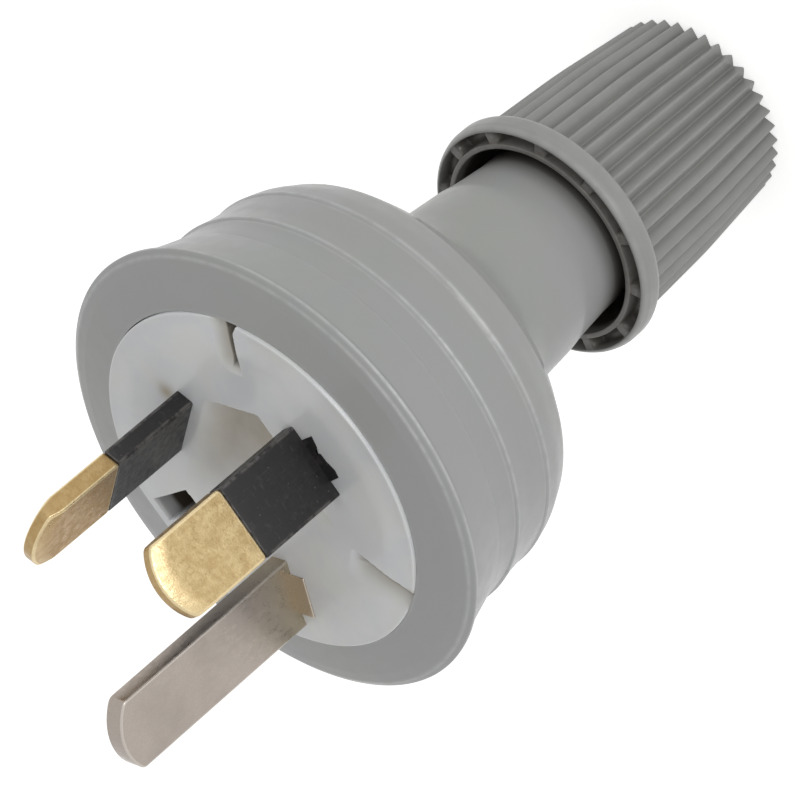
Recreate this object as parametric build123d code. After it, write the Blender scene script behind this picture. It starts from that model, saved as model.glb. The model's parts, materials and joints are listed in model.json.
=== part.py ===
from build123d import *
from math import cos, radians, sin, sqrt, tan
import os

# Rewirable three-pin plug, in millimetres.
# +Z runs along the plug's axis from the cord end to the pins. The origin is the
# centre of the grip nut's flat rear end, on which the plug stands.
# +X and +Y are across the pins' face, with the earth pin on the -Y side.

# Pins, to the flat-blade pattern of a ten-ampere plug
BLADE_WIDTH = 6.35
BLADE_THICKNESS = 1.63
LIVE_PIN_CIRCLE_R = 7.92
ACTIVE_PIN_ANGLE = 30.0
NEUTRAL_PIN_ANGLE = 150.0
EARTH_PIN_CIRCLE_R = 10.31
LIVE_PIN_LENGTH = 17.06
EARTH_PIN_LENGTH = 19.94
TIP_ARC_R = 4.8
TIP_CORNER_R = 1.1
TIP_EDGE_R = 0.3
TAIL_WIDTH = 4.6
TAIL_REACH = 4.2

# Insulation on the two live pins, and the key beside each pin's root
SLEEVE_LENGTH = 8.3
SLEEVE_WALL = 0.4
KEY_WIDTH = 3.8
KEY_THICKNESS = 1.4
KEY_DEPTH = 3.4

# Grip nut
NUT_LENGTH = 20.4
NUT_REAR_R = 8.45
NUT_MIDDLE_R = 9.3
NUT_FRONT_R = 9.95
RIB_COUNT = 38
RIB_DEPTH = 0.75
RIB_CREST = 0.15
FLANGE_R = 10.65
FLANGE_THICKNESS = 2.0
FLANGE_EDGE_R = 0.35
POCKET_COUNT = 12
POCKET_FIRST_ANGLE = 0.0
POCKET_SPAN = 22.5
POCKET_INNER_WALL = 0.55
POCKET_OUTER_WALL = 0.7
POCKET_DEPTH = 1.3
MOUTH_CLEARANCE = 0.55
COUNTERBORE_CLEARANCE = 0.25
NUT_REAR_WALL = 2.2
CORD_HOLE_R = 4.8

# Cord grip inside the nut: slip ring, split claw and rubber seal
THREAD_R = 6.1
THREAD_PITCH = 1.5
TIGHTEN_TURNS = 8.0 / 3.0
RING_HEIGHT = 3.8
RING_RIM = 0.1
CLAW_BORE_R = 4.7
CLAW_TIP_WALL = 0.45
CLAW_TAPER_LENGTH = 3.0
CLAW_SLOTS = 6
CLAW_SLOT_WIDTH = 1.0
CLAW_SLOT_LENGTH = 8.5
CLAW_FLANGE_R = 9.0
CLAW_FLANGE_THICKNESS = 1.5
SEAL_BORE_R = 3.9
SEAL_LENGTH = 11.5
SEAL_LIP_R = 5.15
SEAL_LIP_THICKNESS = 1.2

# Cover: neck, shoulder, three bands and the lip over the pin base
NECK_R = 8.05
NECK_TAIL_R = 7.75
NECK_STEP_R = 0.3
NECK_SHOWING = 3.6
NECK_FLARE_R = 8.5
COVER_LENGTH = 28.7
RIM_R = 19.85
RIM_EDGE_R = 0.45
RIM_FRONT_RISE = 0.55
FIRST_BAND_END = 6.3
FIRST_BAND_WAIST = 3.2
FIRST_BAND_WAIST_R = 18.62
FIRST_BAND_END_R = 17.86
SECOND_BAND_START = 7.1
SECOND_BAND_R = 18.08
SECOND_BAND_END = 11.0
SECOND_BAND_END_R = 17.46
THIRD_BAND_START = 11.5
THIRD_BAND_R = 17.6
THIRD_BAND_END = 13.2
THIRD_BAND_END_R = 17.15
SHOULDER_BEND_R = 16.45
SHOULDER_BEND_DROP = 14.75
SHOULDER_R = 15.1
SHOULDER_DROP = 16.1
SHOULDER_FOOT_R = 9.6
SHOULDER_FOOT_DROP = 19.3
NECK_ROOT_DROP = 21.6
COVER_WALL = 1.6
COVER_FLOOR = 1.7
LIP_OPENING_R = 15.2
LIP_THICKNESS = 1.7

# Pin base
FACE_RISE = 2.0
FACE_PROUD = 0.5
FACE_EDGE_R = 0.35
BASE_FLANGE_R = 17.3
BASE_FLANGE_THICKNESS = 3.0
SKIRT_WALL = 1.1
SKIRT_DEPTH = 6.4
BARRIER_THICKNESS = 1.4
BARRIER_INNER_R = 3.4
BARRIER_DEPTH = 8.2
VALLEY_ANGLES = (90.0, 210.0, 330.0)
VALLEY_DEPTH = 0.45
VALLEY_CURVE_R = 12.0
VALLEY_INNER_R = 6.0
SLIT_ANGLES = (84.0, 333.0)
SLIT_INNER_R = 11.3
SLIT_WIDTH = 0.8
SLIT_TIP_WIDTH = 0.2
SLIT_DEPTH = 1.8
SLOT_ANGLE = 207.0
SLOT_INNER_R = 9.5
SLOT_LENGTH = 4.8
SLOT_WIDTH = 2.0
RECESS_SIDE_DISTANCE = 4.76
RECESS_CORNER_DISTANCE = 6.75
RECESS_DEPTH = 1.2

# Terminals, each with a clamp plate and a screw
BLOCK_WIDTH = 5.6
BLOCK_INNER = 1.65
BLOCK_OUTER = 6.0
BLOCK_HEIGHT = 6.0
SCREW_OFFSET = 3.4
EARTH_BLOCK_SHIFT = 1.2
SCREW_R = 1.5
SCREW_END_GAP = 0.8
SCREW_HEAD_R = 2.5
SCREW_HEAD_HEIGHT = 1.8
SCREW_SLOT_WIDTH = 0.7
SCREW_SLOT_DEPTH = 1.0
PLATE_LENGTH = 5.0
PLATE_THICKNESS = 0.8
PLATE_LIP_THICKNESS = 0.6
PLATE_LIP_HEIGHT = 0.8

# Clearances
RUNNING_CLEARANCE = 0.05
SEAT_CLEARANCE = 0.05
SLIP_CLEARANCE = 0.1
STOP_CLEARANCE = 0.1

# Heights, worked out from the nut's rear end upwards
NECK_STEP_Z = NUT_LENGTH + NECK_SHOWING
RIM_Z = NECK_STEP_Z + COVER_LENGTH
FACE_Z = RIM_Z + FACE_RISE
LIP_TOP_Z = FACE_Z - FACE_PROUD
GROOVE_TOP_Z = LIP_TOP_Z - LIP_THICKNESS
SEAT_Z = GROOVE_TOP_Z - BASE_FLANGE_THICKNESS
CAVITY_R = SECOND_BAND_END_R - COVER_WALL
BLOCK_FOOT_Z = SEAT_Z - BLOCK_HEIGHT
FLOOR_Z = RIM_Z - SHOULDER_FOOT_DROP + COVER_FLOOR
SLEEVE_TOP_Z = FACE_Z + SLEEVE_LENGTH
TIGHTEN_TRAVEL = THREAD_PITCH * TIGHTEN_TURNS
FLANGE_Z = NUT_LENGTH - FLANGE_THICKNESS
NUT_THREAD_R = THREAD_R + RUNNING_CLEARANCE
NUT_MOUTH_R = NECK_R + MOUTH_CLEARANCE
NECK_TAIL_Z = NUT_LENGTH - FLANGE_THICKNESS + STOP_CLEARANCE
COUNTERBORE_R = NECK_TAIL_R + COUNTERBORE_CLEARANCE
COUNTERBORE_Z = NECK_TAIL_Z - TIGHTEN_TRAVEL - STOP_CLEARANCE
RING_TOP_R = THREAD_R - RING_RIM
CONE_SLOPE = (RING_TOP_R - CORD_HOLE_R) / RING_HEIGHT
CLAW_TIP_R = CLAW_BORE_R + CLAW_TIP_WALL
CLAW_TIP_Z = NUT_REAR_WALL + TIGHTEN_TRAVEL + (CLAW_TIP_R + RUNNING_CLEARANCE - CORD_HOLE_R) / CONE_SLOPE
SEAL_SEAT_Z = CLAW_TIP_Z + SEAL_LENGTH

# The metal inside a live pin's insulation
CORE_WIDTH = BLADE_WIDTH - 2 * SLEEVE_WALL
CORE_THICKNESS = BLADE_THICKNESS - 2 * SLEEVE_WALL

UP = (Align.CENTER, Align.CENTER, Align.MIN)


def rod(radius, low, high):
    """A round bar on the Z axis between two heights."""
    return Pos(0, 0, low) * Cylinder(radius, high - low, align=UP)


def slab(width, depth, low, high, x=0.0, y=0.0):
    """A rectangular bar, centred on (x, y), between two heights."""
    return Pos(x, y, low) * Box(width, depth, high - low, align=UP)


def turned(*edges):
    """A solid of revolution about Z from an outline in radius and height."""
    return revolve(Plane.XZ * make_face(edges), Axis.Z, 360)


def live_place(angle):
    """A live pin's frame: X across the blade's width, Y straight out from the axis."""
    x = LIVE_PIN_CIRCLE_R * cos(radians(angle))
    y = LIVE_PIN_CIRCLE_R * sin(radians(angle))
    return Pos(x, y, 0) * Rot(0, 0, angle - 90)


def earth_place():
    """The earth pin's frame: X outwards along the blade's width, Y towards its key."""
    return Pos(0, -EARTH_PIN_CIRCLE_R, 0) * Rot(0, 0, -90)


PLACES = {
    "active": live_place(ACTIVE_PIN_ANGLE),
    "neutral": live_place(NEUTRAL_PIN_ANGLE),
    "earth": earth_place(),
}
BLOCK_SHIFTS = {"active": 0.0, "neutral": 0.0, "earth": -EARTH_BLOCK_SHIFT}


def blade(low, tip):
    """A flat blade with an arched, rounded tip and softened edges."""
    half = BLADE_WIDTH / 2
    arch_foot = tip - TIP_ARC_R + sqrt(TIP_ARC_R**2 - half**2)
    outline = make_face(
        [
            Polyline((-half, arch_foot), (-half, low), (half, low), (half, arch_foot)),
            ThreePointArc((half, arch_foot), (0, tip), (-half, arch_foot)),
        ]
    )
    shoulders = outline.vertices().sort_by(Axis.Y)[-2:]
    outline = fillet(shoulders, TIP_CORNER_R)
    solid = extrude(Plane.XZ * outline, BLADE_THICKNESS / 2, both=True)
    wide_faces = [solid.faces().sort_by(Axis.Y)[0], solid.faces().sort_by(Axis.Y)[-1]]
    soft = [edge for face in wide_faces for edge in face.edges() if edge.center().Z > low + TIP_EDGE_R]
    return fillet(soft, TIP_EDGE_R)


def tail():
    """The narrower end of a pin's metal, below the base, in the terminal block."""
    return slab(TAIL_WIDTH, CORE_THICKNESS, SEAT_Z - TAIL_REACH, SEAT_Z)


def key(clearance=0.0):
    """The block beside a pin's root, flush with the face, that stops the pin turning."""
    inner = BLADE_THICKNESS / 2
    width = KEY_WIDTH + 2 * clearance
    size = KEY_THICKNESS + clearance
    return slab(width, size, FACE_Z - KEY_DEPTH - clearance, FACE_Z, 0, inner + size / 2)


def live_pin(name):
    """A brass live pin: a bare tip, and a thinner core inside the insulation."""
    core = slab(CORE_WIDTH, CORE_THICKNESS, SEAT_Z, SLEEVE_TOP_Z)
    return PLACES[name] * (blade(SLEEVE_TOP_Z, FACE_Z + LIVE_PIN_LENGTH) + core + tail())


def live_sleeve(name):
    """The insulation round a live pin's root, with its key."""
    shell = slab(BLADE_WIDTH, BLADE_THICKNESS, SEAT_Z, SLEEVE_TOP_Z)
    hole = slab(CORE_WIDTH, CORE_THICKNESS, SEAT_Z, SLEEVE_TOP_Z)
    return PLACES[name] * (shell - hole + key())


def earth_pin():
    """The longer earth pin: one bare blade with its key and its tail."""
    return PLACES["earth"] * (blade(SEAT_Z, FACE_Z + EARTH_PIN_LENGTH) + key() + tail())


def pin_hole():
    """What the base leaves open for one pin and its key."""
    width = BLADE_WIDTH + 2 * SEAT_CLEARANCE
    thickness = BLADE_THICKNESS + 2 * SEAT_CLEARANCE
    return slab(width, thickness, SEAT_Z, FACE_Z) + key(SEAT_CLEARANCE)


def face_valley(angle):
    """A shallow trough along a radius of the face, cut by a large cylinder."""
    trough = Cylinder(VALLEY_CURVE_R, BASE_FLANGE_R, align=UP)
    lift = FACE_Z + VALLEY_CURVE_R - VALLEY_DEPTH
    return Rot(0, 0, angle) * Pos(VALLEY_INNER_R, 0, lift) * Rot(0, 90, 0) * trough


def face_slit(angle):
    """A blind slit that opens outwards along a radius, narrow at its inner end."""
    outline = Polyline(
        (SLIT_INNER_R, SLIT_TIP_WIDTH / 2),
        (LIP_OPENING_R, SLIT_WIDTH / 2),
        (LIP_OPENING_R, -SLIT_WIDTH / 2),
        (SLIT_INNER_R, -SLIT_TIP_WIDTH / 2),
        close=True,
    )
    return Rot(0, 0, angle) * Pos(0, 0, FACE_Z - SLIT_DEPTH) * extrude(make_face(outline), SLIT_DEPTH)


def face_recess():
    """The sunken middle of the face: a triangle with its three corners cut off."""
    corner_half = (2 * RECESS_SIDE_DISTANCE - RECESS_CORNER_DISTANCE) / sqrt(3)
    points = []
    for angle in VALLEY_ANGLES:
        along = Vector(cos(radians(angle)), sin(radians(angle)), 0)
        across = Vector(-along.Y, along.X, 0)
        points.append(along * RECESS_CORNER_DISTANCE - across * corner_half)
        points.append(along * RECESS_CORNER_DISTANCE + across * corner_half)
    outline = make_face(Polyline(*points, close=True))
    return Pos(0, 0, FACE_Z - RECESS_DEPTH) * extrude(outline, RECESS_DEPTH)


def pin_base():
    """The white carrier: a stepped disc, a skirt and three barriers between terminals."""
    front = rod(LIP_OPENING_R - SLIP_CLEARANCE, SEAT_Z, FACE_Z)
    front = fillet(front.edges().sort_by(Axis.Z)[-1], FACE_EDGE_R)
    flange = rod(BASE_FLANGE_R, SEAT_Z, GROOVE_TOP_Z - SEAT_CLEARANCE)
    skirt_outer = CAVITY_R - SLIP_CLEARANCE
    skirt_low = SEAT_Z - SKIRT_DEPTH
    skirt = rod(skirt_outer, skirt_low, SEAT_Z) - rod(skirt_outer - SKIRT_WALL, skirt_low, SEAT_Z)
    body = front + flange + skirt
    reach = skirt_outer - SKIRT_WALL / 2 - BARRIER_INNER_R
    for angle in VALLEY_ANGLES:
        wall = slab(reach, BARRIER_THICKNESS, SEAT_Z - BARRIER_DEPTH, SEAT_Z, BARRIER_INNER_R + reach / 2)
        body += Rot(0, 0, angle) * wall
    for angle in VALLEY_ANGLES:
        body -= face_valley(angle)
    for angle in SLIT_ANGLES:
        body -= face_slit(angle)
    slot_middle = SLOT_INNER_R + SLOT_LENGTH / 2
    body -= Rot(0, 0, SLOT_ANGLE) * slab(SLOT_LENGTH, SLOT_WIDTH, SEAT_Z, FACE_Z, slot_middle)
    body -= face_recess()
    for place in PLACES.values():
        body -= place * pin_hole()
    return body


def cover():
    """The cover's bell, neck and lip, turned as one wall."""

    def at(radius, drop):
        return (radius, RIM_Z - drop)

    lip_foot = (LIP_OPENING_R, GROOVE_TOP_Z)
    lip_top = (LIP_OPENING_R, LIP_TOP_Z)
    rim_front = (RIM_R - RIM_EDGE_R, RIM_Z + RIM_FRONT_RISE)
    rim_side = at(RIM_R, 0)
    half_turn = radians(45)
    rim_bend = (RIM_R - RIM_EDGE_R * (1 - cos(half_turn)), RIM_Z + RIM_FRONT_RISE * sin(half_turn))
    outside = [
        Line(lip_foot, lip_top),
        Line(lip_top, rim_front),
        ThreePointArc(rim_front, rim_bend, rim_side),
        ThreePointArc(rim_side, at(FIRST_BAND_WAIST_R, FIRST_BAND_WAIST), at(FIRST_BAND_END_R, FIRST_BAND_END)),
        Line(at(FIRST_BAND_END_R, FIRST_BAND_END), at(SECOND_BAND_R, SECOND_BAND_START)),
        Line(at(SECOND_BAND_R, SECOND_BAND_START), at(SECOND_BAND_END_R, SECOND_BAND_END)),
        Line(at(SECOND_BAND_END_R, SECOND_BAND_END), at(THIRD_BAND_R, THIRD_BAND_START)),
        Line(at(THIRD_BAND_R, THIRD_BAND_START), at(THIRD_BAND_END_R, THIRD_BAND_END)),
        ThreePointArc(
            at(THIRD_BAND_END_R, THIRD_BAND_END),
            at(SHOULDER_BEND_R, SHOULDER_BEND_DROP),
            at(SHOULDER_R, SHOULDER_DROP),
        ),
        Line(at(SHOULDER_R, SHOULDER_DROP), at(SHOULDER_FOOT_R, SHOULDER_FOOT_DROP)),
        Line(at(SHOULDER_FOOT_R, SHOULDER_FOOT_DROP), at(NECK_FLARE_R, NECK_ROOT_DROP)),
        Line(at(NECK_FLARE_R, NECK_ROOT_DROP), (NECK_R, NECK_STEP_Z + NECK_STEP_R)),
        Line((NECK_R, NECK_STEP_Z + NECK_STEP_R), (NECK_TAIL_R, NECK_STEP_Z)),
        Line((NECK_TAIL_R, NECK_STEP_Z), (NECK_TAIL_R, NECK_TAIL_Z)),
    ]
    neck_bore_r = THREAD_R + SLIP_CLEARANCE
    groove_r = BASE_FLANGE_R + SLIP_CLEARANCE
    inside = Polyline(
        (NECK_TAIL_R, NECK_TAIL_Z),
        (neck_bore_r, NECK_TAIL_Z),
        (neck_bore_r, FLOOR_Z),
        (SHOULDER_FOOT_R, FLOOR_Z),
        (SHOULDER_R - COVER_WALL, RIM_Z - SHOULDER_DROP + COVER_FLOOR),
        (CAVITY_R, RIM_Z - THIRD_BAND_END),
        (CAVITY_R, SEAT_Z),
        (groove_r, SEAT_Z),
        (groove_r, GROOVE_TOP_Z),
        lip_foot,
    )
    return turned(*outside, inside)


def cord_claw():
    """The split, threaded claw: a flange inside the cover and six fingers inside the nut."""
    taper_top = CLAW_TIP_Z + CLAW_TAPER_LENGTH
    seat_bore_r = SEAL_LIP_R + SEAT_CLEARANCE
    flange_top = FLOOR_Z + CLAW_FLANGE_THICKNESS
    body = turned(
        Polyline(
            (CLAW_BORE_R, CLAW_TIP_Z),
            (CLAW_TIP_R, CLAW_TIP_Z),
            (THREAD_R, taper_top),
            (THREAD_R, FLOOR_Z),
            (CLAW_FLANGE_R, FLOOR_Z),
            (CLAW_FLANGE_R, flange_top),
            (seat_bore_r, flange_top),
            (seat_bore_r, SEAL_SEAT_Z),
            (CLAW_BORE_R, SEAL_SEAT_Z),
            close=True,
        )
    )
    slot = slab(2 * THREAD_R, CLAW_SLOT_WIDTH, CLAW_TIP_Z, CLAW_TIP_Z + CLAW_SLOT_LENGTH, THREAD_R)
    for index in range(CLAW_SLOTS):
        body -= Rot(0, 0, (index + 0.5) * 360 / CLAW_SLOTS) * slot
    return body


def cord_seal():
    """The rubber sleeve that the claw closes on the cord, with its lip on the claw's step."""
    bush = rod(CLAW_BORE_R - SEAT_CLEARANCE, CLAW_TIP_Z, SEAL_SEAT_Z)
    lip = rod(SEAL_LIP_R, SEAL_SEAT_Z, SEAL_SEAT_Z + SEAL_LIP_THICKNESS)
    return bush + lip - rod(SEAL_BORE_R, CLAW_TIP_Z, SEAL_SEAT_Z + SEAL_LIP_THICKNESS)


def slip_ring():
    """The ring on the nut's floor, whose cone squeezes the claw's fingers."""
    top = NUT_REAR_WALL + RING_HEIGHT
    return turned(
        Polyline(
            (CORD_HOLE_R, NUT_REAR_WALL),
            (THREAD_R, NUT_REAR_WALL),
            (THREAD_R, top),
            (RING_TOP_R, top),
            close=True,
        )
    )


def rib_groove():
    """One V groove of the nut, from its rear end to its flange.

    Each flank of the V runs from the groove's floor past the rib's crest, to twice its length.
    """
    step = radians(360 / RIB_COUNT)
    sections = []
    for tip_r, height in ((NUT_REAR_R, 0.0), (NUT_FRONT_R, FLANGE_Z)):
        valley_r = tip_r - RIB_DEPTH
        half = (step - RIB_CREST / tip_r) / 2
        flank = 2 * Vector(tip_r * cos(half) - valley_r, tip_r * sin(half), 0)
        outline = Polyline(
            (valley_r, 0, height),
            (valley_r + flank.X, flank.Y, height),
            (valley_r + flank.X, -flank.Y, height),
            close=True,
        )
        sections.append(make_face(outline))
    return loft(sections, ruled=True)


def cord_grip_nut():
    """The ribbed nut: barrel, pocketed flange, thread, and the cord's hole."""
    barrel = turned(
        Line((0, 0), (NUT_REAR_R, 0)),
        ThreePointArc((NUT_REAR_R, 0), (NUT_MIDDLE_R, FLANGE_Z / 2), (NUT_FRONT_R, FLANGE_Z)),
        Line((NUT_FRONT_R, FLANGE_Z), (0, FLANGE_Z)),
        Line((0, FLANGE_Z), (0, 0)),
    )
    groove = rib_groove()
    barrel -= [Rot(0, 0, index * 360 / RIB_COUNT) * groove for index in range(RIB_COUNT)]
    flange = rod(FLANGE_R, FLANGE_Z, NUT_LENGTH)
    flange = fillet(flange.edges().filter_by(GeomType.CIRCLE), FLANGE_EDGE_R)
    pocket_inner_r = NUT_MOUTH_R + POCKET_INNER_WALL
    pocket_outer_r = FLANGE_R - POCKET_OUTER_WALL
    band = rod(pocket_outer_r, NUT_LENGTH - POCKET_DEPTH, NUT_LENGTH)
    band -= rod(pocket_inner_r, NUT_LENGTH - POCKET_DEPTH, NUT_LENGTH)
    reach = 2 * FLANGE_R
    half_width = reach * tan(radians(POCKET_SPAN / 2))
    wedge = make_face(Polyline((0, 0), (reach, half_width), (reach, -half_width), close=True))
    pocket = band & (Pos(0, 0, NUT_LENGTH - POCKET_DEPTH) * extrude(wedge, POCKET_DEPTH))
    for index in range(POCKET_COUNT):
        flange -= Rot(0, 0, POCKET_FIRST_ANGLE + index * 360 / POCKET_COUNT) * pocket
    body = barrel + flange
    body -= rod(CORD_HOLE_R, 0, NUT_REAR_WALL)
    body -= rod(NUT_THREAD_R, NUT_REAR_WALL, COUNTERBORE_Z)
    body -= rod(COUNTERBORE_R, COUNTERBORE_Z, FLANGE_Z)
    body -= rod(NUT_MOUTH_R, FLANGE_Z, NUT_LENGTH)
    return body


def terminal(name):
    """A brass block pressed on a pin's tail, tapped for the terminal screw."""
    length = BLOCK_OUTER + BLOCK_INNER
    middle = (BLOCK_OUTER - BLOCK_INNER) / 2
    shift = BLOCK_SHIFTS[name]
    block = slab(BLOCK_WIDTH, length, BLOCK_FOOT_Z, SEAT_Z, shift, middle)
    block -= tail()
    block -= Pos(shift, SCREW_OFFSET, 0) * rod(SCREW_R + RUNNING_CLEARANCE, BLOCK_FOOT_Z, SEAT_Z)
    return PLACES[name] * block


def clamp_plate(name):
    """The saddle that the screw presses on the conductor, its lips beside the block."""
    low = BLOCK_FOOT_Z - PLATE_THICKNESS
    lip_x = BLOCK_WIDTH / 2 + SLIP_CLEARANCE + PLATE_LIP_THICKNESS / 2
    plate = slab(2 * lip_x + PLATE_LIP_THICKNESS, PLATE_LENGTH, low, BLOCK_FOOT_Z)
    for side in (-1, 1):
        lip_top = BLOCK_FOOT_Z + PLATE_LIP_HEIGHT
        plate += slab(PLATE_LIP_THICKNESS, PLATE_LENGTH, BLOCK_FOOT_Z, lip_top, side * lip_x)
    plate -= rod(SCREW_R + RUNNING_CLEARANCE, low, BLOCK_FOOT_Z)
    return PLACES[name] * Pos(BLOCK_SHIFTS[name], SCREW_OFFSET, 0) * plate


def terminal_screw(name):
    """A slotted terminal screw, its head towards the cord end."""
    head_top = BLOCK_FOOT_Z - PLATE_THICKNESS
    head_low = head_top - SCREW_HEAD_HEIGHT
    shank_top = head_top + PLATE_THICKNESS + BLOCK_HEIGHT - SCREW_END_GAP
    screw = rod(SCREW_HEAD_R, head_low, head_top) + rod(SCREW_R, head_top, shank_top)
    screw -= slab(2 * SCREW_HEAD_R, SCREW_SLOT_WIDTH, head_low, head_low + SCREW_SLOT_DEPTH)
    return PLACES[name] * Pos(BLOCK_SHIFTS[name], SCREW_OFFSET, 0) * screw


def all_parts():
    """Every piece of the plug, by the name of its node."""
    parts = {
        "cover": cover(),
        "pin_base": pin_base(),
        "active_pin": live_pin("active"),
        "neutral_pin": live_pin("neutral"),
        "earth_pin": earth_pin(),
        "active_sleeve": live_sleeve("active"),
        "neutral_sleeve": live_sleeve("neutral"),
        "cord_claw": cord_claw(),
        "cord_seal": cord_seal(),
        "slip_ring": slip_ring(),
        "cord_grip_nut": cord_grip_nut(),
    }
    for name in PLACES:
        parts[name + "_terminal"] = terminal(name)
        parts[name + "_clamp_plate"] = clamp_plate(name)
        parts[name + "_screw"] = terminal_screw(name)
    return parts


os.makedirs("parts", exist_ok=True)
for node, solid in all_parts().items():
    export_step(solid, f"parts/{node}.step")
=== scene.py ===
"""A rewirable three-pin plug standing on its cord grip, in plain studio light.

Lengths are in millimetres and become metres when a mesh is made. Z runs from the cord end to the
pins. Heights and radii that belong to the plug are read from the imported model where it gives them.
"""
import json
from math import cos, pi, radians, sin, tau

import bpy
import numpy as np
from mathutils import Matrix, Vector


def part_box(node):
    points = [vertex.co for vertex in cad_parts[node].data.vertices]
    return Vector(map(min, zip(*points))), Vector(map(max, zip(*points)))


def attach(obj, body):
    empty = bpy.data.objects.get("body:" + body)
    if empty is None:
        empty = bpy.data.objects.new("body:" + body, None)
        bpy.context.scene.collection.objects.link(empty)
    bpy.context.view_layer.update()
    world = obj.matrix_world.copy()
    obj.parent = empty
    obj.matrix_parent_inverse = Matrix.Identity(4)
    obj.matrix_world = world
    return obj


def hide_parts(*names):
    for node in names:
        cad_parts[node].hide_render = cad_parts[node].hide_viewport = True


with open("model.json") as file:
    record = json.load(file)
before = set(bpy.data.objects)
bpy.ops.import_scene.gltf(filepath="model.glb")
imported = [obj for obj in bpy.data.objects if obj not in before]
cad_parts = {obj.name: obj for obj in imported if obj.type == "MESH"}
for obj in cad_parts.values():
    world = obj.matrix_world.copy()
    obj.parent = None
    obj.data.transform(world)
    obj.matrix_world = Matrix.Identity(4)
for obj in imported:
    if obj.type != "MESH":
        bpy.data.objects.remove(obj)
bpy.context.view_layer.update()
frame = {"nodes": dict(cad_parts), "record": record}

MM = 0.001


def high(node):
    """A node's highest corner, in millimetres."""
    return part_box(node)[1] / MM


def low(node):
    """A node's lowest corner, in millimetres."""
    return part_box(node)[0] / MM


# Camera, at the photograph's viewing angle: its place and what it looks at, its roll in degrees
CAMERA_PLACE = (271.28, 231.16, 272.70)
CAMERA_AIM = (1.49, -1.72, 39.97)
CAMERA_ROLL = -130.77
CAMERA_LENS = 248.7

# Studio light: the sky's strength at the sides and overhead, the floor's glow, the lamps' places
SKY_SIDE = 0.98
SKY_TOP = 0.50
FLOOR_GLOW = 0.55
FLOOR_REACH = 2500
LAMP_AIM = (0, 0, 40)
LAMP_DISTANCE = 900

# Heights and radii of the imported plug. The face stands above the lip and the rim lies below it.
NUT_TOP = high("cord_grip_nut").z
FLANGE_R = high("cord_grip_nut").x
LIP_TOP = high("cover").z
NECK_END = low("cover").z
FACE = LIP_TOP + 0.5
RIM = LIP_TOP - 1.5
SLEEVE_TOP = high("active_sleeve").z
BASE_LOW = low("pin_base").z
BASE_SEAT = RIM - 3.2

# Pins: flat blades, given by the distance of their centre from the axis and by their direction
BLADE_WIDTH = 6.35
BLADE_THICKNESS = 1.63
LIVE_PIN_R = 7.92
EARTH_PIN_R = 10.31
ACTIVE_ANGLE = 30.0
NEUTRAL_ANGLE = 150.0
SLEEVE_WALL = 0.4
CORE_PLAY = 0.02
TAIL_WIDTH = 4.6
TAIL_REACH = 4.2
SIDE_TARNISH = 0.55

# A blade's tip: its arc, its shoulders, and how far and how much its wide sides slope off
TIP_ARC_R = 4.8
TIP_CORNER_R = 1.1
TIP_BEVEL = 1.5
TIP_THINNING = 0.40

# Where the rows of points on a blade's wide sides lie, from the middle at 0 to the edge at 1
FLAT_SHARES = (0.25, 0.5, 0.65, 0.76, 0.84, 0.91, 0.96)

# The key at a pin's root
KEY_WIDTH = 3.8
KEY_THICKNESS = 1.4
KEY_DEPTH = 3.4

# Cover: the lip's inner radius, how far down the neck the nut's mouth lies, the columns round
# the axis, and the side where a highlight is painted brightest on its ridges, and its spread
LIP_R = 15.13
MOUTH_DROP = RIM - NUT_TOP
COVER_COLUMNS = 256
HIGHLIGHT_ANGLE = 33
HIGHLIGHT_SPREAD = 14

# Pin base: its face, its rim under the cover's lip, and its skirt
FACE_R = 15.13
FACE_EDGE_R = 0.3
BASE_RIM_R = 17.3
BASE_RIM_TOP = BASE_SEAT + 3.0
SKIRT_R = 15.76
SKIRT_INNER_R = 14.66
SKIRT_END = BASE_LOW + 1.8
AXIS_R = 0.25

# The face's sunken triangle, three valleys, slopes beside the slits, slit and slot
RECESS_BOTTOM = 2.2
RECESS_TOP = 6.96
RECESS_RIGHT = 5.45
RECESS_LEFT = 4.95
RECESS_DEPTH = 1.15
VALLEY_ANGLES = (90.0, 210.0, 330.0)
VALLEY_DEPTH = 0.22
VALLEY_HALF_WIDTH = 3.6
SLOPE_DEPTH = 0.95
SLIT_X = 1.85
SLIT_WIDTH = 0.9
SLIT_START = 11.2
SLIT_DEPTH = 1.4
SIDE_SLOPE_START = 10.0
SLOT_ANGLE = 207.0
SLOT_HALF_WIDTH = 1.02
SLOT_START = 9.3
SLOT_END = 14.2
SLOT_WALL = 0.8
SLOT_DEPTH = 3.0

# Grip nut: its hollow, the ribs round its barrel, and the pockets with webs between them in the
# flange's front. Radii go with heights above the nut's rear end.
ENTRY_R = 4.8
NUT_FLOOR = 2.2
CHAMBER_R = 6.15
MOUTH_FLOOR = 14.4
MOUTH_FLOOR_R = 8.1
MOUTH_R = 8.6
RIB_COUNT = 38
RIB_DEPTH = 0.85
RIB_PHASE = 2.2
RIB_SHARPNESS = 0.975
REAR_R = 8.42
REAR_INNER_R = 7.2
BARREL_R = 9.80
ANGLES_PER_RIB = 16
FLANGE_THICKNESS = 2.0
POCKET_COUNT = 12
POCKET_PHASE = 15.0
WEB_SPAN = 7.5
WEB_BLUR = 2.6
POCKET_DEPTH = 1.3
POCKET_INNER_R = 9.08
POCKET_OUTER_R = 10.1


# Outlines


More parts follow.
